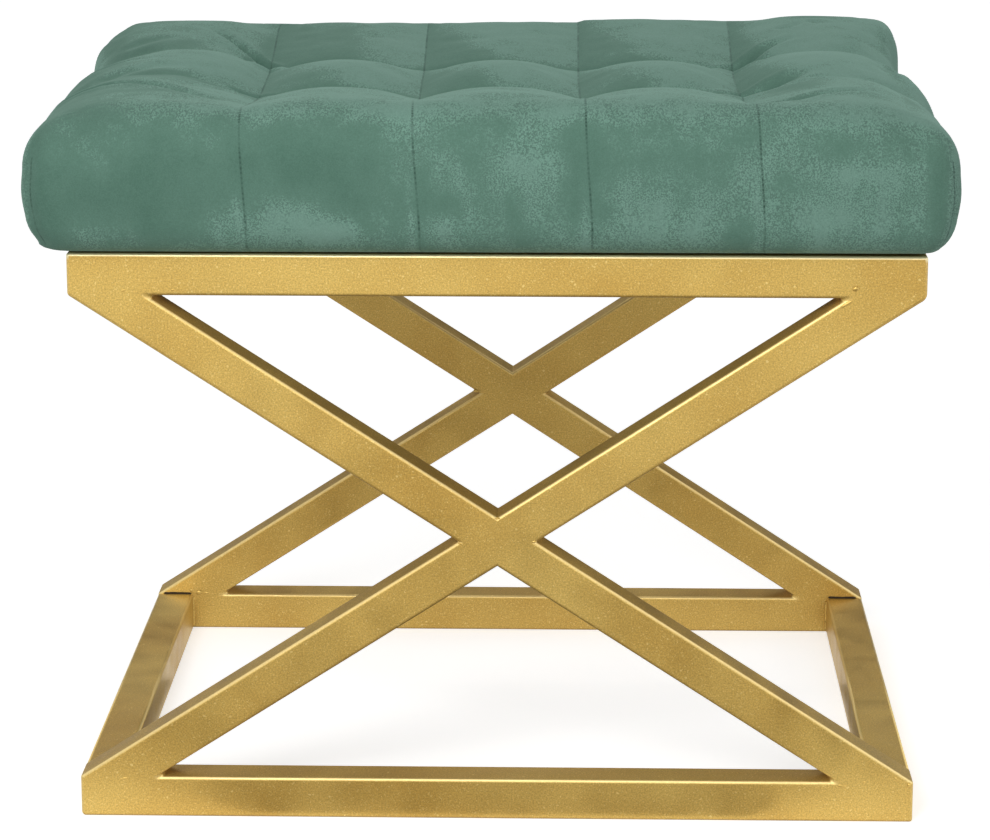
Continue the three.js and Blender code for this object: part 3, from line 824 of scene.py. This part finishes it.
def cushion_skin(spacing, close, steps):
    """The whole cushion as one closed body, wrapped round the seat board underneath."""
    lines_x, lines_y = grid_lines(SEAMS, edge_x, spacing, close), grid_lines(ROWS, edge_y, spacing, close)
    columns, lines = len(lines_x), len(lines_y)
    skin = Skin()
    grid_x, grid_y = np.meshgrid(lines_x, lines_y)
    height = top_height(grid_x, grid_y)
    flat = np.stack([grid_x.ravel(), grid_y.ravel()], axis=1)
    skin.add([tuple(p) for p in np.column_stack([flat, height.ravel()])], [(*p, FAR) for p in flat])
    for j in range(lines - 1):
        for i in range(columns - 1):
            a = j * columns + i
            skin.faces.append((a, a + 1, a + columns + 1, a + columns))
    right, back = columns - 1, lines - 1
    sides = [
        ([(i, 0) for i in range(right + 1)], -90), ([(right, j) for j in range(back + 1)], 0),
        ([(i, back) for i in range(right, -1, -1)], 90), ([(0, j) for j in range(back, -1, -1)], 180),
    ]
    loop = []
    for places, facing in sides:
        for i, j in places[:-1]:
            loop.append((i, j, facing))
        i, j = places[-1]
        for k in range(2 * CORNER_FAN):
            loop.append((i, j, facing + 90 * k / (2 * CORNER_FAN)))
    previous = [j * columns + i for i, j, _ in loop]
    for reach_out, wall, pull in side_rings(*steps):
        points, flats = [], []
        for i, j, facing in loop:
            angle = math.radians(facing)
            cos, sin = math.cos(angle), math.sin(angle)
            power = REAR_CORNER_POWER if sin > 0 else FRONT_CORNER_POWER
            rounding = (abs(cos) ** power + abs(sin) ** power) ** (-1 / power)
            x, y = lines_x[i], lines_y[j]
            base_z = bottom_z + OVERHANG_LIFT + OVERHANG_SLOPE * x + UNDER_RADIUS
            out, drop = reach_out, 1.0
            if wall == 0:
                fuller = 2 / (ROLL_POWER + (REAR_ROLL_POWER - ROLL_POWER) * rear_right(x, y))
                out, drop = ROLL_OUT * math.sin(reach_out) ** fuller, 1 - math.cos(reach_out) ** fuller
            from_corner = abs(math.radians((facing + 360) % 90 - 45)) * out
            groove = 0.0
            if facing in (-90, 90):
                depth = SEAM_GROOVE + (SEAM_GROOVE_FOOT - SEAM_GROOVE) * min(wall, 1)
                groove = depth * float(sewn_dip(np.array(x)))
            elif facing in (0, 180):
                share = min(abs(abs(y) - ROWS[-1]) / ROW_GROOVE_REACH, 1)
                groove = ROW_GROOVE * (1 + math.cos(math.pi * share)) / 2 * max(1 - 0.75 * wall, 0)
            groove += CORNER_GROOVE * math.exp(-((from_corner / CORNER_GROOVE_REACH) ** 2))
            reach = (out - groove * pull * min(out / ROLL_OUT, 1)) * rounding
            top = float(height[j, i]) - ROLL_DROP * drop
            z = top + (base_z - top) * min(wall, 1)
            if wall > 1:
                z = base_z - UNDER_RADIUS * (wall - 1)
            points.append((x + cos * reach, y + sin * reach, z))
            flats.append((x + cos * out, y + sin * out, from_corner if facing % 90 else FAR))
        current = skin.add(points, flats)
        skin.band(previous, current)
        previous = current
    return skin, previous


def closed_underneath(skin, rim):
    """Turns the hem under the board and closes the cushion on the board's top."""
    outline = [skin.points[k][:2] for k in rim]
    hem_top = bottom_z + CLOTH
    rings = [(-HEM * 0.5, bottom_z), (-HEM, bottom_z), (-HEM, hem_top), (SNUG, hem_top)]
    rings.append((SNUG, board_high.z + SNUG))
    for out, z in rings:
        half_w, half_d = board_high.x + out, board_high.y + out
        points = [(max(min(x, half_w), -half_w), max(min(y, half_d), -half_d), z) for x, y in outline]
        current = skin.add(points, [(x, y, FAR) for x, y in outline])
        skin.band(rim, current)
        rim = current
    skin.faces.append(tuple(rim))


# How far the ends of the cover stand out, as (y, out) in millimetres
RIGHT_END = [(-210, 0), (-160, 1.6), (-100, 3.2), (-35, 4.6), (0, 1.8), (35, -3.4), (70, -7.6), (100, -10.4),
             (140, -9), (170, -3), (200, -2.4), (230, -2.2)]
LEFT_END = [(-220, 0), (-170, 2.4), (-140, 3.2), (-100, 6.6), (-50, 9.4), (0, 3.6), (50, -1.6), (100, 0.6),
            (140, 5.4), (170, 4), (200, 0), (230, -2.6)]
COVER_SHIFT = 3.3 * mm
LEFT_FOOT_OUT = 7.0 * mm
LEFT_LOW_IN, RIGHT_LOW_IN = 2.0 * mm, 2.4 * mm


def sideways(points, free):
    """The cover sits a little to the left, and its seams lean to the right towards the front."""
    x, y, z = points.T
    stations = [-half_y, 0.0, 0.18]
    lean = np.interp(y, stations, [5.5 * mm, 1.0 * mm, -1.2 * mm])
    lean += np.interp(y, stations, [0.013, 0.01, 0.045]) * x
    lean += 4.2 * mm * smooth(-y, 0.19, half_y) * smooth(-z, -0.43, -0.35)
    lean *= 1 - np.abs(x / half_x) ** 5
    moved = lean - COVER_SHIFT * smooth(z, bottom_z - 1 * mm, bottom_z + 5 * mm)
    right, left = smooth(x, 0.15, half_x), smooth(-x, 0.15, half_x)
    moved += right * along(y, RIGHT_END)
    moved -= left * along(y, LEFT_END)
    low = 1 - smooth(z, 0.35, 0.385)
    moved += (left * LEFT_LOW_IN - right * RIGHT_LOW_IN) * low
    moved -= left * LEFT_FOOT_OUT * (1 - smooth(z, 0.346, 0.354))
    moved[free:] = 0
    return moved


def smooth_skin_mesh(name, detail):
    skin, rim = cushion_skin(*detail)
    free = len(skin.points)
    closed_underneath(skin, rim)
    points = np.array(skin.points)
    flat = np.array(skin.flat)
    flat[:, 2] += np.clip(points[:, 2] - CORNER_SEAM_TOP, 0, 1) * 0.3
    points[:, 0] += sideways(points, free)
    cushion = mesh_object(name, points, [face for face in skin.faces if len(face) > 2])
    for name, values in zip(("flat_x", "flat_y", "corner"), flat.T):
        write_values(cushion.data, name, values)
    mesh = bmesh.new()
    mesh.from_mesh(cushion.data)
    bmesh.ops.remove_doubles(mesh, verts=mesh.verts, dist=1e-6)
    bmesh.ops.recalc_face_normals(mesh, faces=mesh.faces)
    mesh.to_mesh(cushion.data)
    mesh.free()
    return cushion


def read_values(data, name):
    values = np.empty(len(data.vertices), dtype=np.float32)
    data.attributes[name].data.foreach_get("value", values)
    return values.astype(float)


def read_vectors(data, name):
    values = np.empty(len(data.vertices) * 3)
    data.vertices.foreach_get(name, values)
    return values.reshape(-1, 3)


# How light the pile is, brushed pile and painted shade together: 0.5 is the border between dark and light.
# Patches are placed in millimetres: on the top as (x, y), on the front as (x, z), then two reaches, then
# how much lighter. They are partly the brushed pile and partly painted shade.
TOP_PATCHES = [
    (-213, -64, 26, 17, -0.42), (-213, -33, 22, 8, 0.12), (-234, 72, 11, 26, -0.34),
    (-207, 76, 12, 26, -0.26), (-185, 96, 12, 30, 0.15), (-180, 0, 22, 40, 0.15), (-210, -156, 44, 6, -0.24),
    (-152, -78, 9, 12, -0.2), (-160, 120, 4, 60, -0.2), (178, -108, 17, 24, -0.42),
    (186, -166, 34, 8, -0.24), (166, -30, 14, 10, -0.1), (204, 186, 17, 14, -0.42), (163, 76, 12, 40, -0.22),
    (200, 40, 26, 40, 0.1), (252, 128, 5, 34, -0.4), (246, 10, 4, 50, -0.3), (246, -130, 5, 24, -0.3),
]
FRONT_PATCHES = [
    (-199, 388, 46, 26, -0.4), (-262, 380, 14, 40, -0.25), (-119, 404, 28, 19, -0.3),
    (-80, 396, 32, 24, -0.3), (-28, 380, 8, 10, -0.2), (-8, 385, 6, 15, -0.15), (11, 367, 7, 11, -0.2),
    (46, 384, 9, 14, -0.25), (62, 402, 14, 20, -0.3), (117, 409, 36, 15, -0.2), (138, 358, 15, 7, -0.25),
    (201, 413, 22, 7, -0.2), (162, 394, 10, 12, -0.25), (253, 386, 6, 34, -0.45), (-158, 369, 8, 18, 0.3),
    (-238, 360, 12, 10, 0.2), (-116, 366, 24, 15, 0.35), (-86, 361, 14, 9, 0.3), (10, 398, 28, 10, 0.15),
    (100, 372, 28, 18, 0.2), (206, 396, 34, 9, 0.25), (215, 372, 34, 12, 0.15), (180, 366, 20, 12, 0.15),
    (-30, 362, 10, 10, 0.2),
]
FOLD_SHADE = 0.07


def patches(first, second, places):
    total = np.zeros_like(first)
    for a, b, reach_a, reach_b, strength in places:
        gap = ((first / mm - a) / reach_a) ** 2 + ((second / mm - b) / reach_b) ** 2
        total += strength * np.exp(-gap)
    return total


def pile_lay_and_painted_shade(points, normals, flat_x, flat_y):
    """How light the pile is at each point, from about 0 to 1: the brushed pile, with painted shade in creases
    and on slopes turned from the light, and painted light on the top and towards the right.
    """
    x, y, z = points.T
    right_end = flat_x > SEAMS[-1]
    past_last = np.where(right_end, flat_x - SEAMS[-1], (flat_x - SEAMS[0]) % SEAM_GAP)
    right_of_seam = np.where(flat_x > SEAMS[0], past_last, FAR)
    left_of_seam = np.where(right_end, FAR, (SEAMS[0] - flat_x) % SEAM_GAP)
    rear = flat_y > ROWS[1]
    behind_row = np.where(rear, flat_y - ROWS[1], np.maximum(flat_y - ROWS[0], 0))
    behind = (behind_row / np.where(rear, 135 * mm, 120 * mm)).clip(0, 1)
    in_rows = flat_y > ROWS[0]
    # Painted shade, partly the brushed pile: in each biscuit a dark wedge lies to the right of the seam,
    # narrower towards the rear
    wedge = np.where(rear, 68 - 58 * np.sqrt(behind), 54 - 56 * behind)
    wedge = np.where(rear & (flat_x < SEAMS[1]) & (flat_x > SEAMS[0]), 66 - 16 * behind, wedge)
    wedge = np.where(right_end, np.where(rear, 14 - 6 * behind, 38 - 30 * behind), wedge) * mm
    soft = np.where(right_end, 10, 17) * mm
    shade = np.where(rear, 0.34, 0.3) * (1 - smooth(right_of_seam, wedge - soft, wedge + soft)) * in_rows
    # Painted shade: narrow dark borders along the seams, rows and tufts, where the creases lie
    near_left, near_row = left_of_seam / mm, behind_row / mm
    shade += 0.12 * np.exp(-right_of_seam / (9 * mm)) * in_rows
    shade += 0.2 * np.exp(-near_row / 9) * (np.abs(flat_x) < 0.165) * in_rows
    shade += 0.32 * np.exp(-near_left / 14) * np.exp(-near_row / 34) * in_rows
    shade += 0.16 * np.exp(-near_left / 16) * (flat_x < SEAMS[0]) * rear
    # Painted shade also darkens the left end and the front band
    shade += 0.24 * smooth(-x, 0.222, 0.262) + 0.12 * smooth(-x, 0.16, 0.2)
    shade += 0.08 * (flat_y < ROWS[0])
    top = 0.69 - shade + patches(x, y, TOP_PATCHES)
    # Painted light: the front grows lighter towards the right
    on_front = 0.45 + 0.2 * x + 0.7 * patches(x, z, FRONT_PATCHES)
    # A painted highlight, a light stripe, stands a little to the left of each seam on the front
    seam_highlight = (flat_x - SEAMS[0] + 4 * mm) % SEAM_GAP
    seam_highlight = np.exp(-((np.minimum(seam_highlight, SEAM_GAP - seam_highlight) / (2.6 * mm)) ** 2)) * (np.abs(flat_x) < 0.16)
    on_front += 0.16 * smooth(-z, -0.405, -0.37) * seam_highlight
    side = 0.6 + 0.1 * np.sin(z / (9 * mm))
    facing_front = smooth(-normals[:, 1], 0.2, 0.6) * smooth(-z, -0.433, -0.419)
    facing_side = smooth(np.abs(normals[:, 0]), 0.55, 0.85)
    # Painted light: the top is lighter than the front, and the ends lie in between
    pile_lay_and_shade = top + (on_front - top) * facing_front
    pile_lay_and_shade += (side - pile_lay_and_shade) * facing_side
    # Painted shade in the folds
    return pile_lay_and_shade - FOLD_SHADE * np.clip(fold_depth(flat_x, flat_y) / mm, 0, 6)


# The cloth is 0.4% larger than the skin, and the vertex group "sewn" is held
CLOTH_SETTINGS = {
    "quality": 5, "mass": 0.3, "tension_stiffness": 20, "compression_stiffness": 20, "shear_stiffness": 8,
    "bending_stiffness": 0.6, "use_pressure": True, "uniform_pressure_force": 4.0, "shrink_min": -0.004,
    "vertex_group_mass": "sewn",
}
SIM_FRAMES = 20
MOVE_CAP = 5 * mm
END_HOLD = 0.5
BLEND_REACH = 8 * mm


def inflated():
    """Cloth simulation on a coarser copy of the cover: air presses it out while its seams, tufts and
    hem stay sewn down. Returns where its points started and how far each one moved."""
    copy = smooth_skin_mesh("cover_for_cloth", COARSE)
    data = copy.data
    start = read_vectors(data, "co")
    held = (nearest(read_values(data, "flat_x"), SEAMS) < 0.2 * mm) | (start[:, 2] < bottom_z + 6 * mm)
    held |= (np.abs(start[:, 0]) < board_high.x + 1 * mm) & (start[:, 2] < board_high.z + 1 * mm)
    copy.vertex_groups.new(name="sewn").add(np.nonzero(held)[0].tolist(), 1.0, "REPLACE")
    cloth = copy.modifiers.new("cloth", "CLOTH")
    cloth.point_cache.frame_end = SIM_FRAMES
    for setting, value in CLOTH_SETTINGS.items():
        setattr(cloth.settings, setting, value)
    cloth.settings.effector_weights.gravity = 0
    for number in range(1, SIM_FRAMES + 1):
        bpy.context.scene.frame_set(number)
    evaluated = copy.evaluated_get(bpy.context.evaluated_depsgraph_get())
    moved = read_vectors(evaluated.data, "co") - start
    length = np.linalg.norm(moved, axis=1, keepdims=True)
    bpy.context.scene.frame_set(1)
    bpy.data.objects.remove(copy)
    return start, moved * np.minimum(1, MOVE_CAP / np.maximum(length, 1e-9))


def carried_over(places, moved, points):
    """The moves of the coarse points, blended onto the fine ones that lie near them."""
    tree = KDTree(len(places))
    for k, place in enumerate(places):
        tree.insert(place, k)
    tree.balance()
    result = np.zeros_like(points)
    for k, point in enumerate(points):
        found = tree.find_n(point, 12)
        numbers, gaps = [number for _, number, _ in found], np.array([gap for _, _, gap in found])
        weights = np.exp(-((gaps / BLEND_REACH) ** 2)) + 1e-6
        result[k] = weights @ moved[numbers] / weights.sum()
    held = smooth(nearest(points[:, 0], SEAMS), 0, 6 * mm) + smooth(-points[:, 2], -0.4, -0.38)
    return result * np.clip(held, 0, 1)[:, None]


def add_cushion(velvet):
    cushion = smooth_skin_mesh("tufted_velvet_cushion", FINE)
    data = cushion.data
    points = read_vectors(data, "co")
    moves = carried_over(*inflated(), points)
    moves[:, 0] *= 1 - END_HOLD * smooth(np.abs(points[:, 0]), 0.2, 0.255)
    data.vertices.foreach_set("co", (points + moves).ravel())
    points = read_vectors(data, "co")
    flat_x, flat_y = read_values(data, "flat_x"), read_values(data, "flat_y")
    points[:, 2] -= fold_depth(flat_x, flat_y) * smooth(points[:, 2], 0.395, 0.41)
    data.vertices.foreach_set("co", points.ravel())
    data.update()
    points, normals = read_vectors(data, "co"), read_vectors(data, "normal")
    write_values(data, "pile_lay_and_shade", pile_lay_and_painted_shade(points, normals, flat_x, flat_y))
    finished(cushion, velvet, "velvet", "velvet_cover", "foam_core", *[f"tuft_tie_{k}" for k in range(1, 9)])


# Under the seat: dust cover and screws

DUST_SAG = 4 * mm
DUST_STEP = 4 * mm
# Wrinkles of the dust cover: their spacing, and how far they run in from the corners and the tubes
PULL_WAVE, PULL_REACH = 4.5 * mm, 75 * mm
GATHER_WAVE_X, GATHER_WAVE_Y, GATHER_REACH = 5.5 * mm, 6.1 * mm, 16 * mm


def add_dust_cover(dust_cloth):
    """Thin cloth stapled to the board and held by the frame: it hangs in the opening, with pull wrinkles
    that run in from the corners and small gathers along the tubes."""
    half_w, half_d = cloth_high.x, cloth_high.y
    open_w, open_d = HALF_WIDTH - TUBE, HALF_DEPTH - TUBE
    xs = np.linspace(-half_w, half_w, round(2 * half_w / DUST_STEP) + 1)
    ys = np.linspace(-half_d, half_d, round(2 * half_d / DUST_STEP) + 1)
    x, y = (grid.ravel() for grid in np.meshgrid(xs, ys))
    across, deep = np.clip(1 - (x / open_w) ** 2, 0, 1), np.clip(1 - (y / open_d) ** 2, 0, 1)
    z = cloth_high.z - 0.4 * mm - DUST_SAG * across ** 2 * deep ** 2
    inside = smooth(open_w - np.abs(x), 1 * mm, 14 * mm) * smooth(open_d - np.abs(y), 1 * mm, 14 * mm)
    corner_x, corner_y = open_w - np.abs(x), open_d - np.abs(y)
    pull = np.sin((corner_x - corner_y) / PULL_WAVE) * np.exp(-np.hypot(corner_x, corner_y) / PULL_REACH)
    gather = np.sin(x / GATHER_WAVE_X) * np.exp(-corner_y / GATHER_REACH)
    gather += np.sin(y / GATHER_WAVE_Y) * np.exp(-corner_x / GATHER_REACH)
    slack = np.array([noise.noise(Vector((a, b, 3)) * 28) for a, b in zip(x, y)])
    z -= inside * (0.5 * pull + 0.25 * gather + 0.9 * slack) * mm
    count = len(xs)
    faces = [(k, k + 1, k + 1 + count, k + count)
             for row in range(len(ys) - 1) for k in range(row * count, row * count + count - 1)]
    cover = mesh_object("dust_cover_cloth", np.column_stack([x, y, z]), faces)
    finished(cover, dust_cloth, "dust_cloth", "dust_cover")


# Profile of the pan head, in millimetres from its seat down: (radius, depth)
HEAD_PROFILE = [(4.2, 0.0), (4.2, 0.7), (4.08, 1.25), (3.75, 1.75), (3.2, 2.15), (2.5, 2.42), (1.6, 2.56),
                (0.8, 2.6)]
HEAD_HEIGHT = 2.6 * mm
HEAD_STEPS = 48
RECESS_ARM = 2.1 * mm
RECESS_HALF_WIDTH = 0.48 * mm
# The recess tapers inwards: (share of the arm, height)
RECESS_LEVELS = [(1.0, -4 * mm), (1.0, -2.2 * mm), (0.45, -0.9 * mm)]
SHANK_RADIUS, TIP_RADIUS = 1.8 * mm, 0.4 * mm


def recess_bar(angle):
    """One bar of the cross recess, as a closed body to cut with."""
    cos, sin = math.cos(angle), math.sin(angle)
    half = RECESS_HALF_WIDTH
    corners = []
    for share, z in RECESS_LEVELS:
        reach = RECESS_ARM * share
        for u, v in ((-reach, -half), (reach, -half), (reach, half), (-reach, half)):
            corners.append((u * cos - v * sin, u * sin + v * cos, z))
    return mesh_object("recess", corners, ring_faces(len(RECESS_LEVELS), 4), False)


def add_screw(corner, zinc):
    """A pan head with a cross recess, standing on its washer, and its shank through the tab."""
    node = f"{corner}_screw"
    low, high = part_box(node)
    centre = (low + high) / 2
    seat = low.z + HEAD_HEIGHT
    around = [2 * math.pi * k / HEAD_STEPS for k in range(HEAD_STEPS)]
    head = [Vector((r * math.cos(a), r * math.sin(a), -d)) * mm for r, d in HEAD_PROFILE for a in around]
    body = mesh_object(f"{node}_pan_head", head, ring_faces(len(HEAD_PROFILE), HEAD_STEPS))
    turn = math.radians(17 + 31 * (centre.x > 0) + 23 * (centre.y > 0))
    for angle in (turn, turn + math.pi / 2):
        cutter = recess_bar(angle)
        cut = body.modifiers.new("recess", "BOOLEAN")
        cut.operation, cut.solver, cut.object = "DIFFERENCE", "EXACT", cutter
        graph = bpy.context.evaluated_depsgraph_get()
        data = bpy.data.meshes.new_from_object(body.evaluated_get(graph))
        body.modifiers.clear()
        body.data = data
        bpy.data.objects.remove(cutter)
    shank = bmesh.new()
    shank.from_mesh(body.data)
    length = high.z - seat - TIP_RADIUS
    made = bmesh.ops.create_cone(
        shank, cap_ends=True, segments=24, radius1=SHANK_RADIUS, radius2=TIP_RADIUS, depth=length)
    for vertex in made["verts"]:
        vertex.co.z += length / 2
    shank.to_mesh(body.data)
    shank.free()
    body.location = (centre.x, centre.y, seat)
    finished(body, zinc, "zinc_fastener", node)


# Floor and light

WORLD_LIGHT = 0.4
FLOOR_RADIUS = 40
# Dark studio flags, out of sight: they show only in what the glossy metal mirrors. One stands behind
# the stool and two lie on the floor: name, grey, corners.
FLAGS = [
    ("rear_flag", 0.03, [(-3.5, 2.4, 0), (3.5, 2.4, 0), (3.5, 2.4, 1.35), (-3.5, 2.4, 1.35)]),
    ("floor_flag", 0.22, [(-0.6, -1.5, mm), (0.6, -1.5, mm), (0.6, -0.6, mm), (0.15, -0.215, mm),
                          (-0.15, -0.215, mm), (-0.6, -0.6, mm)]),
    ("inner_floor_flag", 0.33, [(-0.22, -0.18, mm), (0.22, -0.18, mm), (0.22, 0.06, mm), (-0.22, 0.06, mm)]),
]
SOFTBOX_PLACE, SOFTBOX_AIM = Vector((-0.4, -1.5, 1.15)), Vector((0.0, -0.2, 0.45))
# Weak suns that fill the shadows: name, direction of the light, strength, angle in degrees
FILLS = [
    ("low_fill", (0.0, 1.0, -0.12), 0.5, 30),
    ("side_fill", (-1.0, 0.35, -0.45), 0.4, 30),
    ("back_fill", (0.3, -1.0, -0.5), 0.25, 40),
]


def clear_rays(nodes):
    """1 for the rays that the camera, a glossy surface or glass sends out, otherwise 0."""
    camera, glossy, glass = (
        nodes.add("LightPath", f"Is {kind} Ray", {}) for kind in ("Camera", "Glossy", "Transmission"))
    return nodes.math("MAXIMUM", nodes.math("MAXIMUM", camera, glossy), glass)


def add_stage():
    """A pale floor and a world that look white, and the flags."""
    world = bpy.data.worlds.new("world")
    bpy.context.scene.world = world
    nodes = Nodes("world", world)
    strength = nodes.level(clear_rays(nodes), 0.0, 1.0, WORLD_LIGHT, 1.0)
    nodes.surface({"Color": (1, 1, 1, 1), "Strength": strength}, "Background")

    bpy.ops.mesh.primitive_circle_add(vertices=96, radius=FLOOR_RADIUS, fill_type="NGON")
    floor = bpy.context.object
    floor.name = "floor"
    nodes = Nodes("pale_floor")
    floor.data.materials.append(nodes.surface({
        "Base Color": (0.8, 0.8, 0.8, 1),
        "Roughness": 0.9,
        "Emission Color": (0.6, 0.6, 0.6, 1),
        "Emission Strength": clear_rays(nodes),
    }))
    for name, grey, corners in FLAGS:
        flag = mesh_object(name, corners, [tuple(range(len(corners)))], False)
        nodes = Nodes(name)
        colour = (grey, grey * 0.95, grey * 0.9, 1)
        flag.data.materials.append(nodes.surface({"Base Color": colour, "Roughness": 1.0}))
        flag.visible_camera = flag.visible_diffuse = flag.visible_shadow = False


def add_lamp(name, kind, power, place, toward, **settings):
    data = bpy.data.lights.new(name, kind)
    data.energy = power
    for setting, value in settings.items():
        setattr(data, setting, value)
    pointed(new_object(name, data), place, toward)


def add_lights():
    toward = SOFTBOX_AIM - SOFTBOX_PLACE
    spread = math.radians(80)
    add_lamp("softbox", "AREA", 3.2, SOFTBOX_PLACE, toward, shape="DISK", size=0.7, spread=spread)
    for name, toward, power, angle in FILLS:
        add_lamp(name, "SUN", power, (0, 0, 0), toward, angle=math.radians(angle))


bpy.context.scene.view_settings.view_transform = "Standard"
add_camera()
add_stage()
add_lights()

gold = gold_material()
velvet = velvet_material()
zinc = plain_material("zinc_plate", linear(150, 152, 156), 0.35, 0.9, 700.0, 0.02)
# Painted shadow: a dark material for rods that stand for the shadow in the open seams by the bottom side
# rails
gap_shadow = plain_material("painted_gap_shadow", linear(58, 42, 22), 0.85, 0.0, 900.0, 0.1, 0.5)
plywood = plywood_material()
dust_cloth = dust_cloth_material()

for end, turn, shift in (("front", 1, FRONT_CROSSING_SHIFT), ("rear", -1, REAR_CROSSING_SHIFT)):
    add_x_frame(end, turn, shift, gold)
for side, sign in (("left", -1), ("right", 1)):
    for level, z in (("top", FRAME_TOP - TUBE / 2), ("bottom", TUBE / 2)):
        add_side_rail(side, sign, level, z, gold)
add_welds(gold)
add_gap_shadow_rods(gap_shadow)
add_weld_ends(gold)
add_cushion(velvet)
add_dust_cover(dust_cloth)
for corner in ("front_left", "front_right", "rear_left", "rear_right"):
    add_screw(corner, zinc)

kept = {"_tab": gold, "_washer": zinc, "seat_board": plywood}
for name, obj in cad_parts.items():
    for ending, material in kept.items():
        if name.endswith(ending):
            obj.data.materials.clear()
            obj.data.materials.append(material)
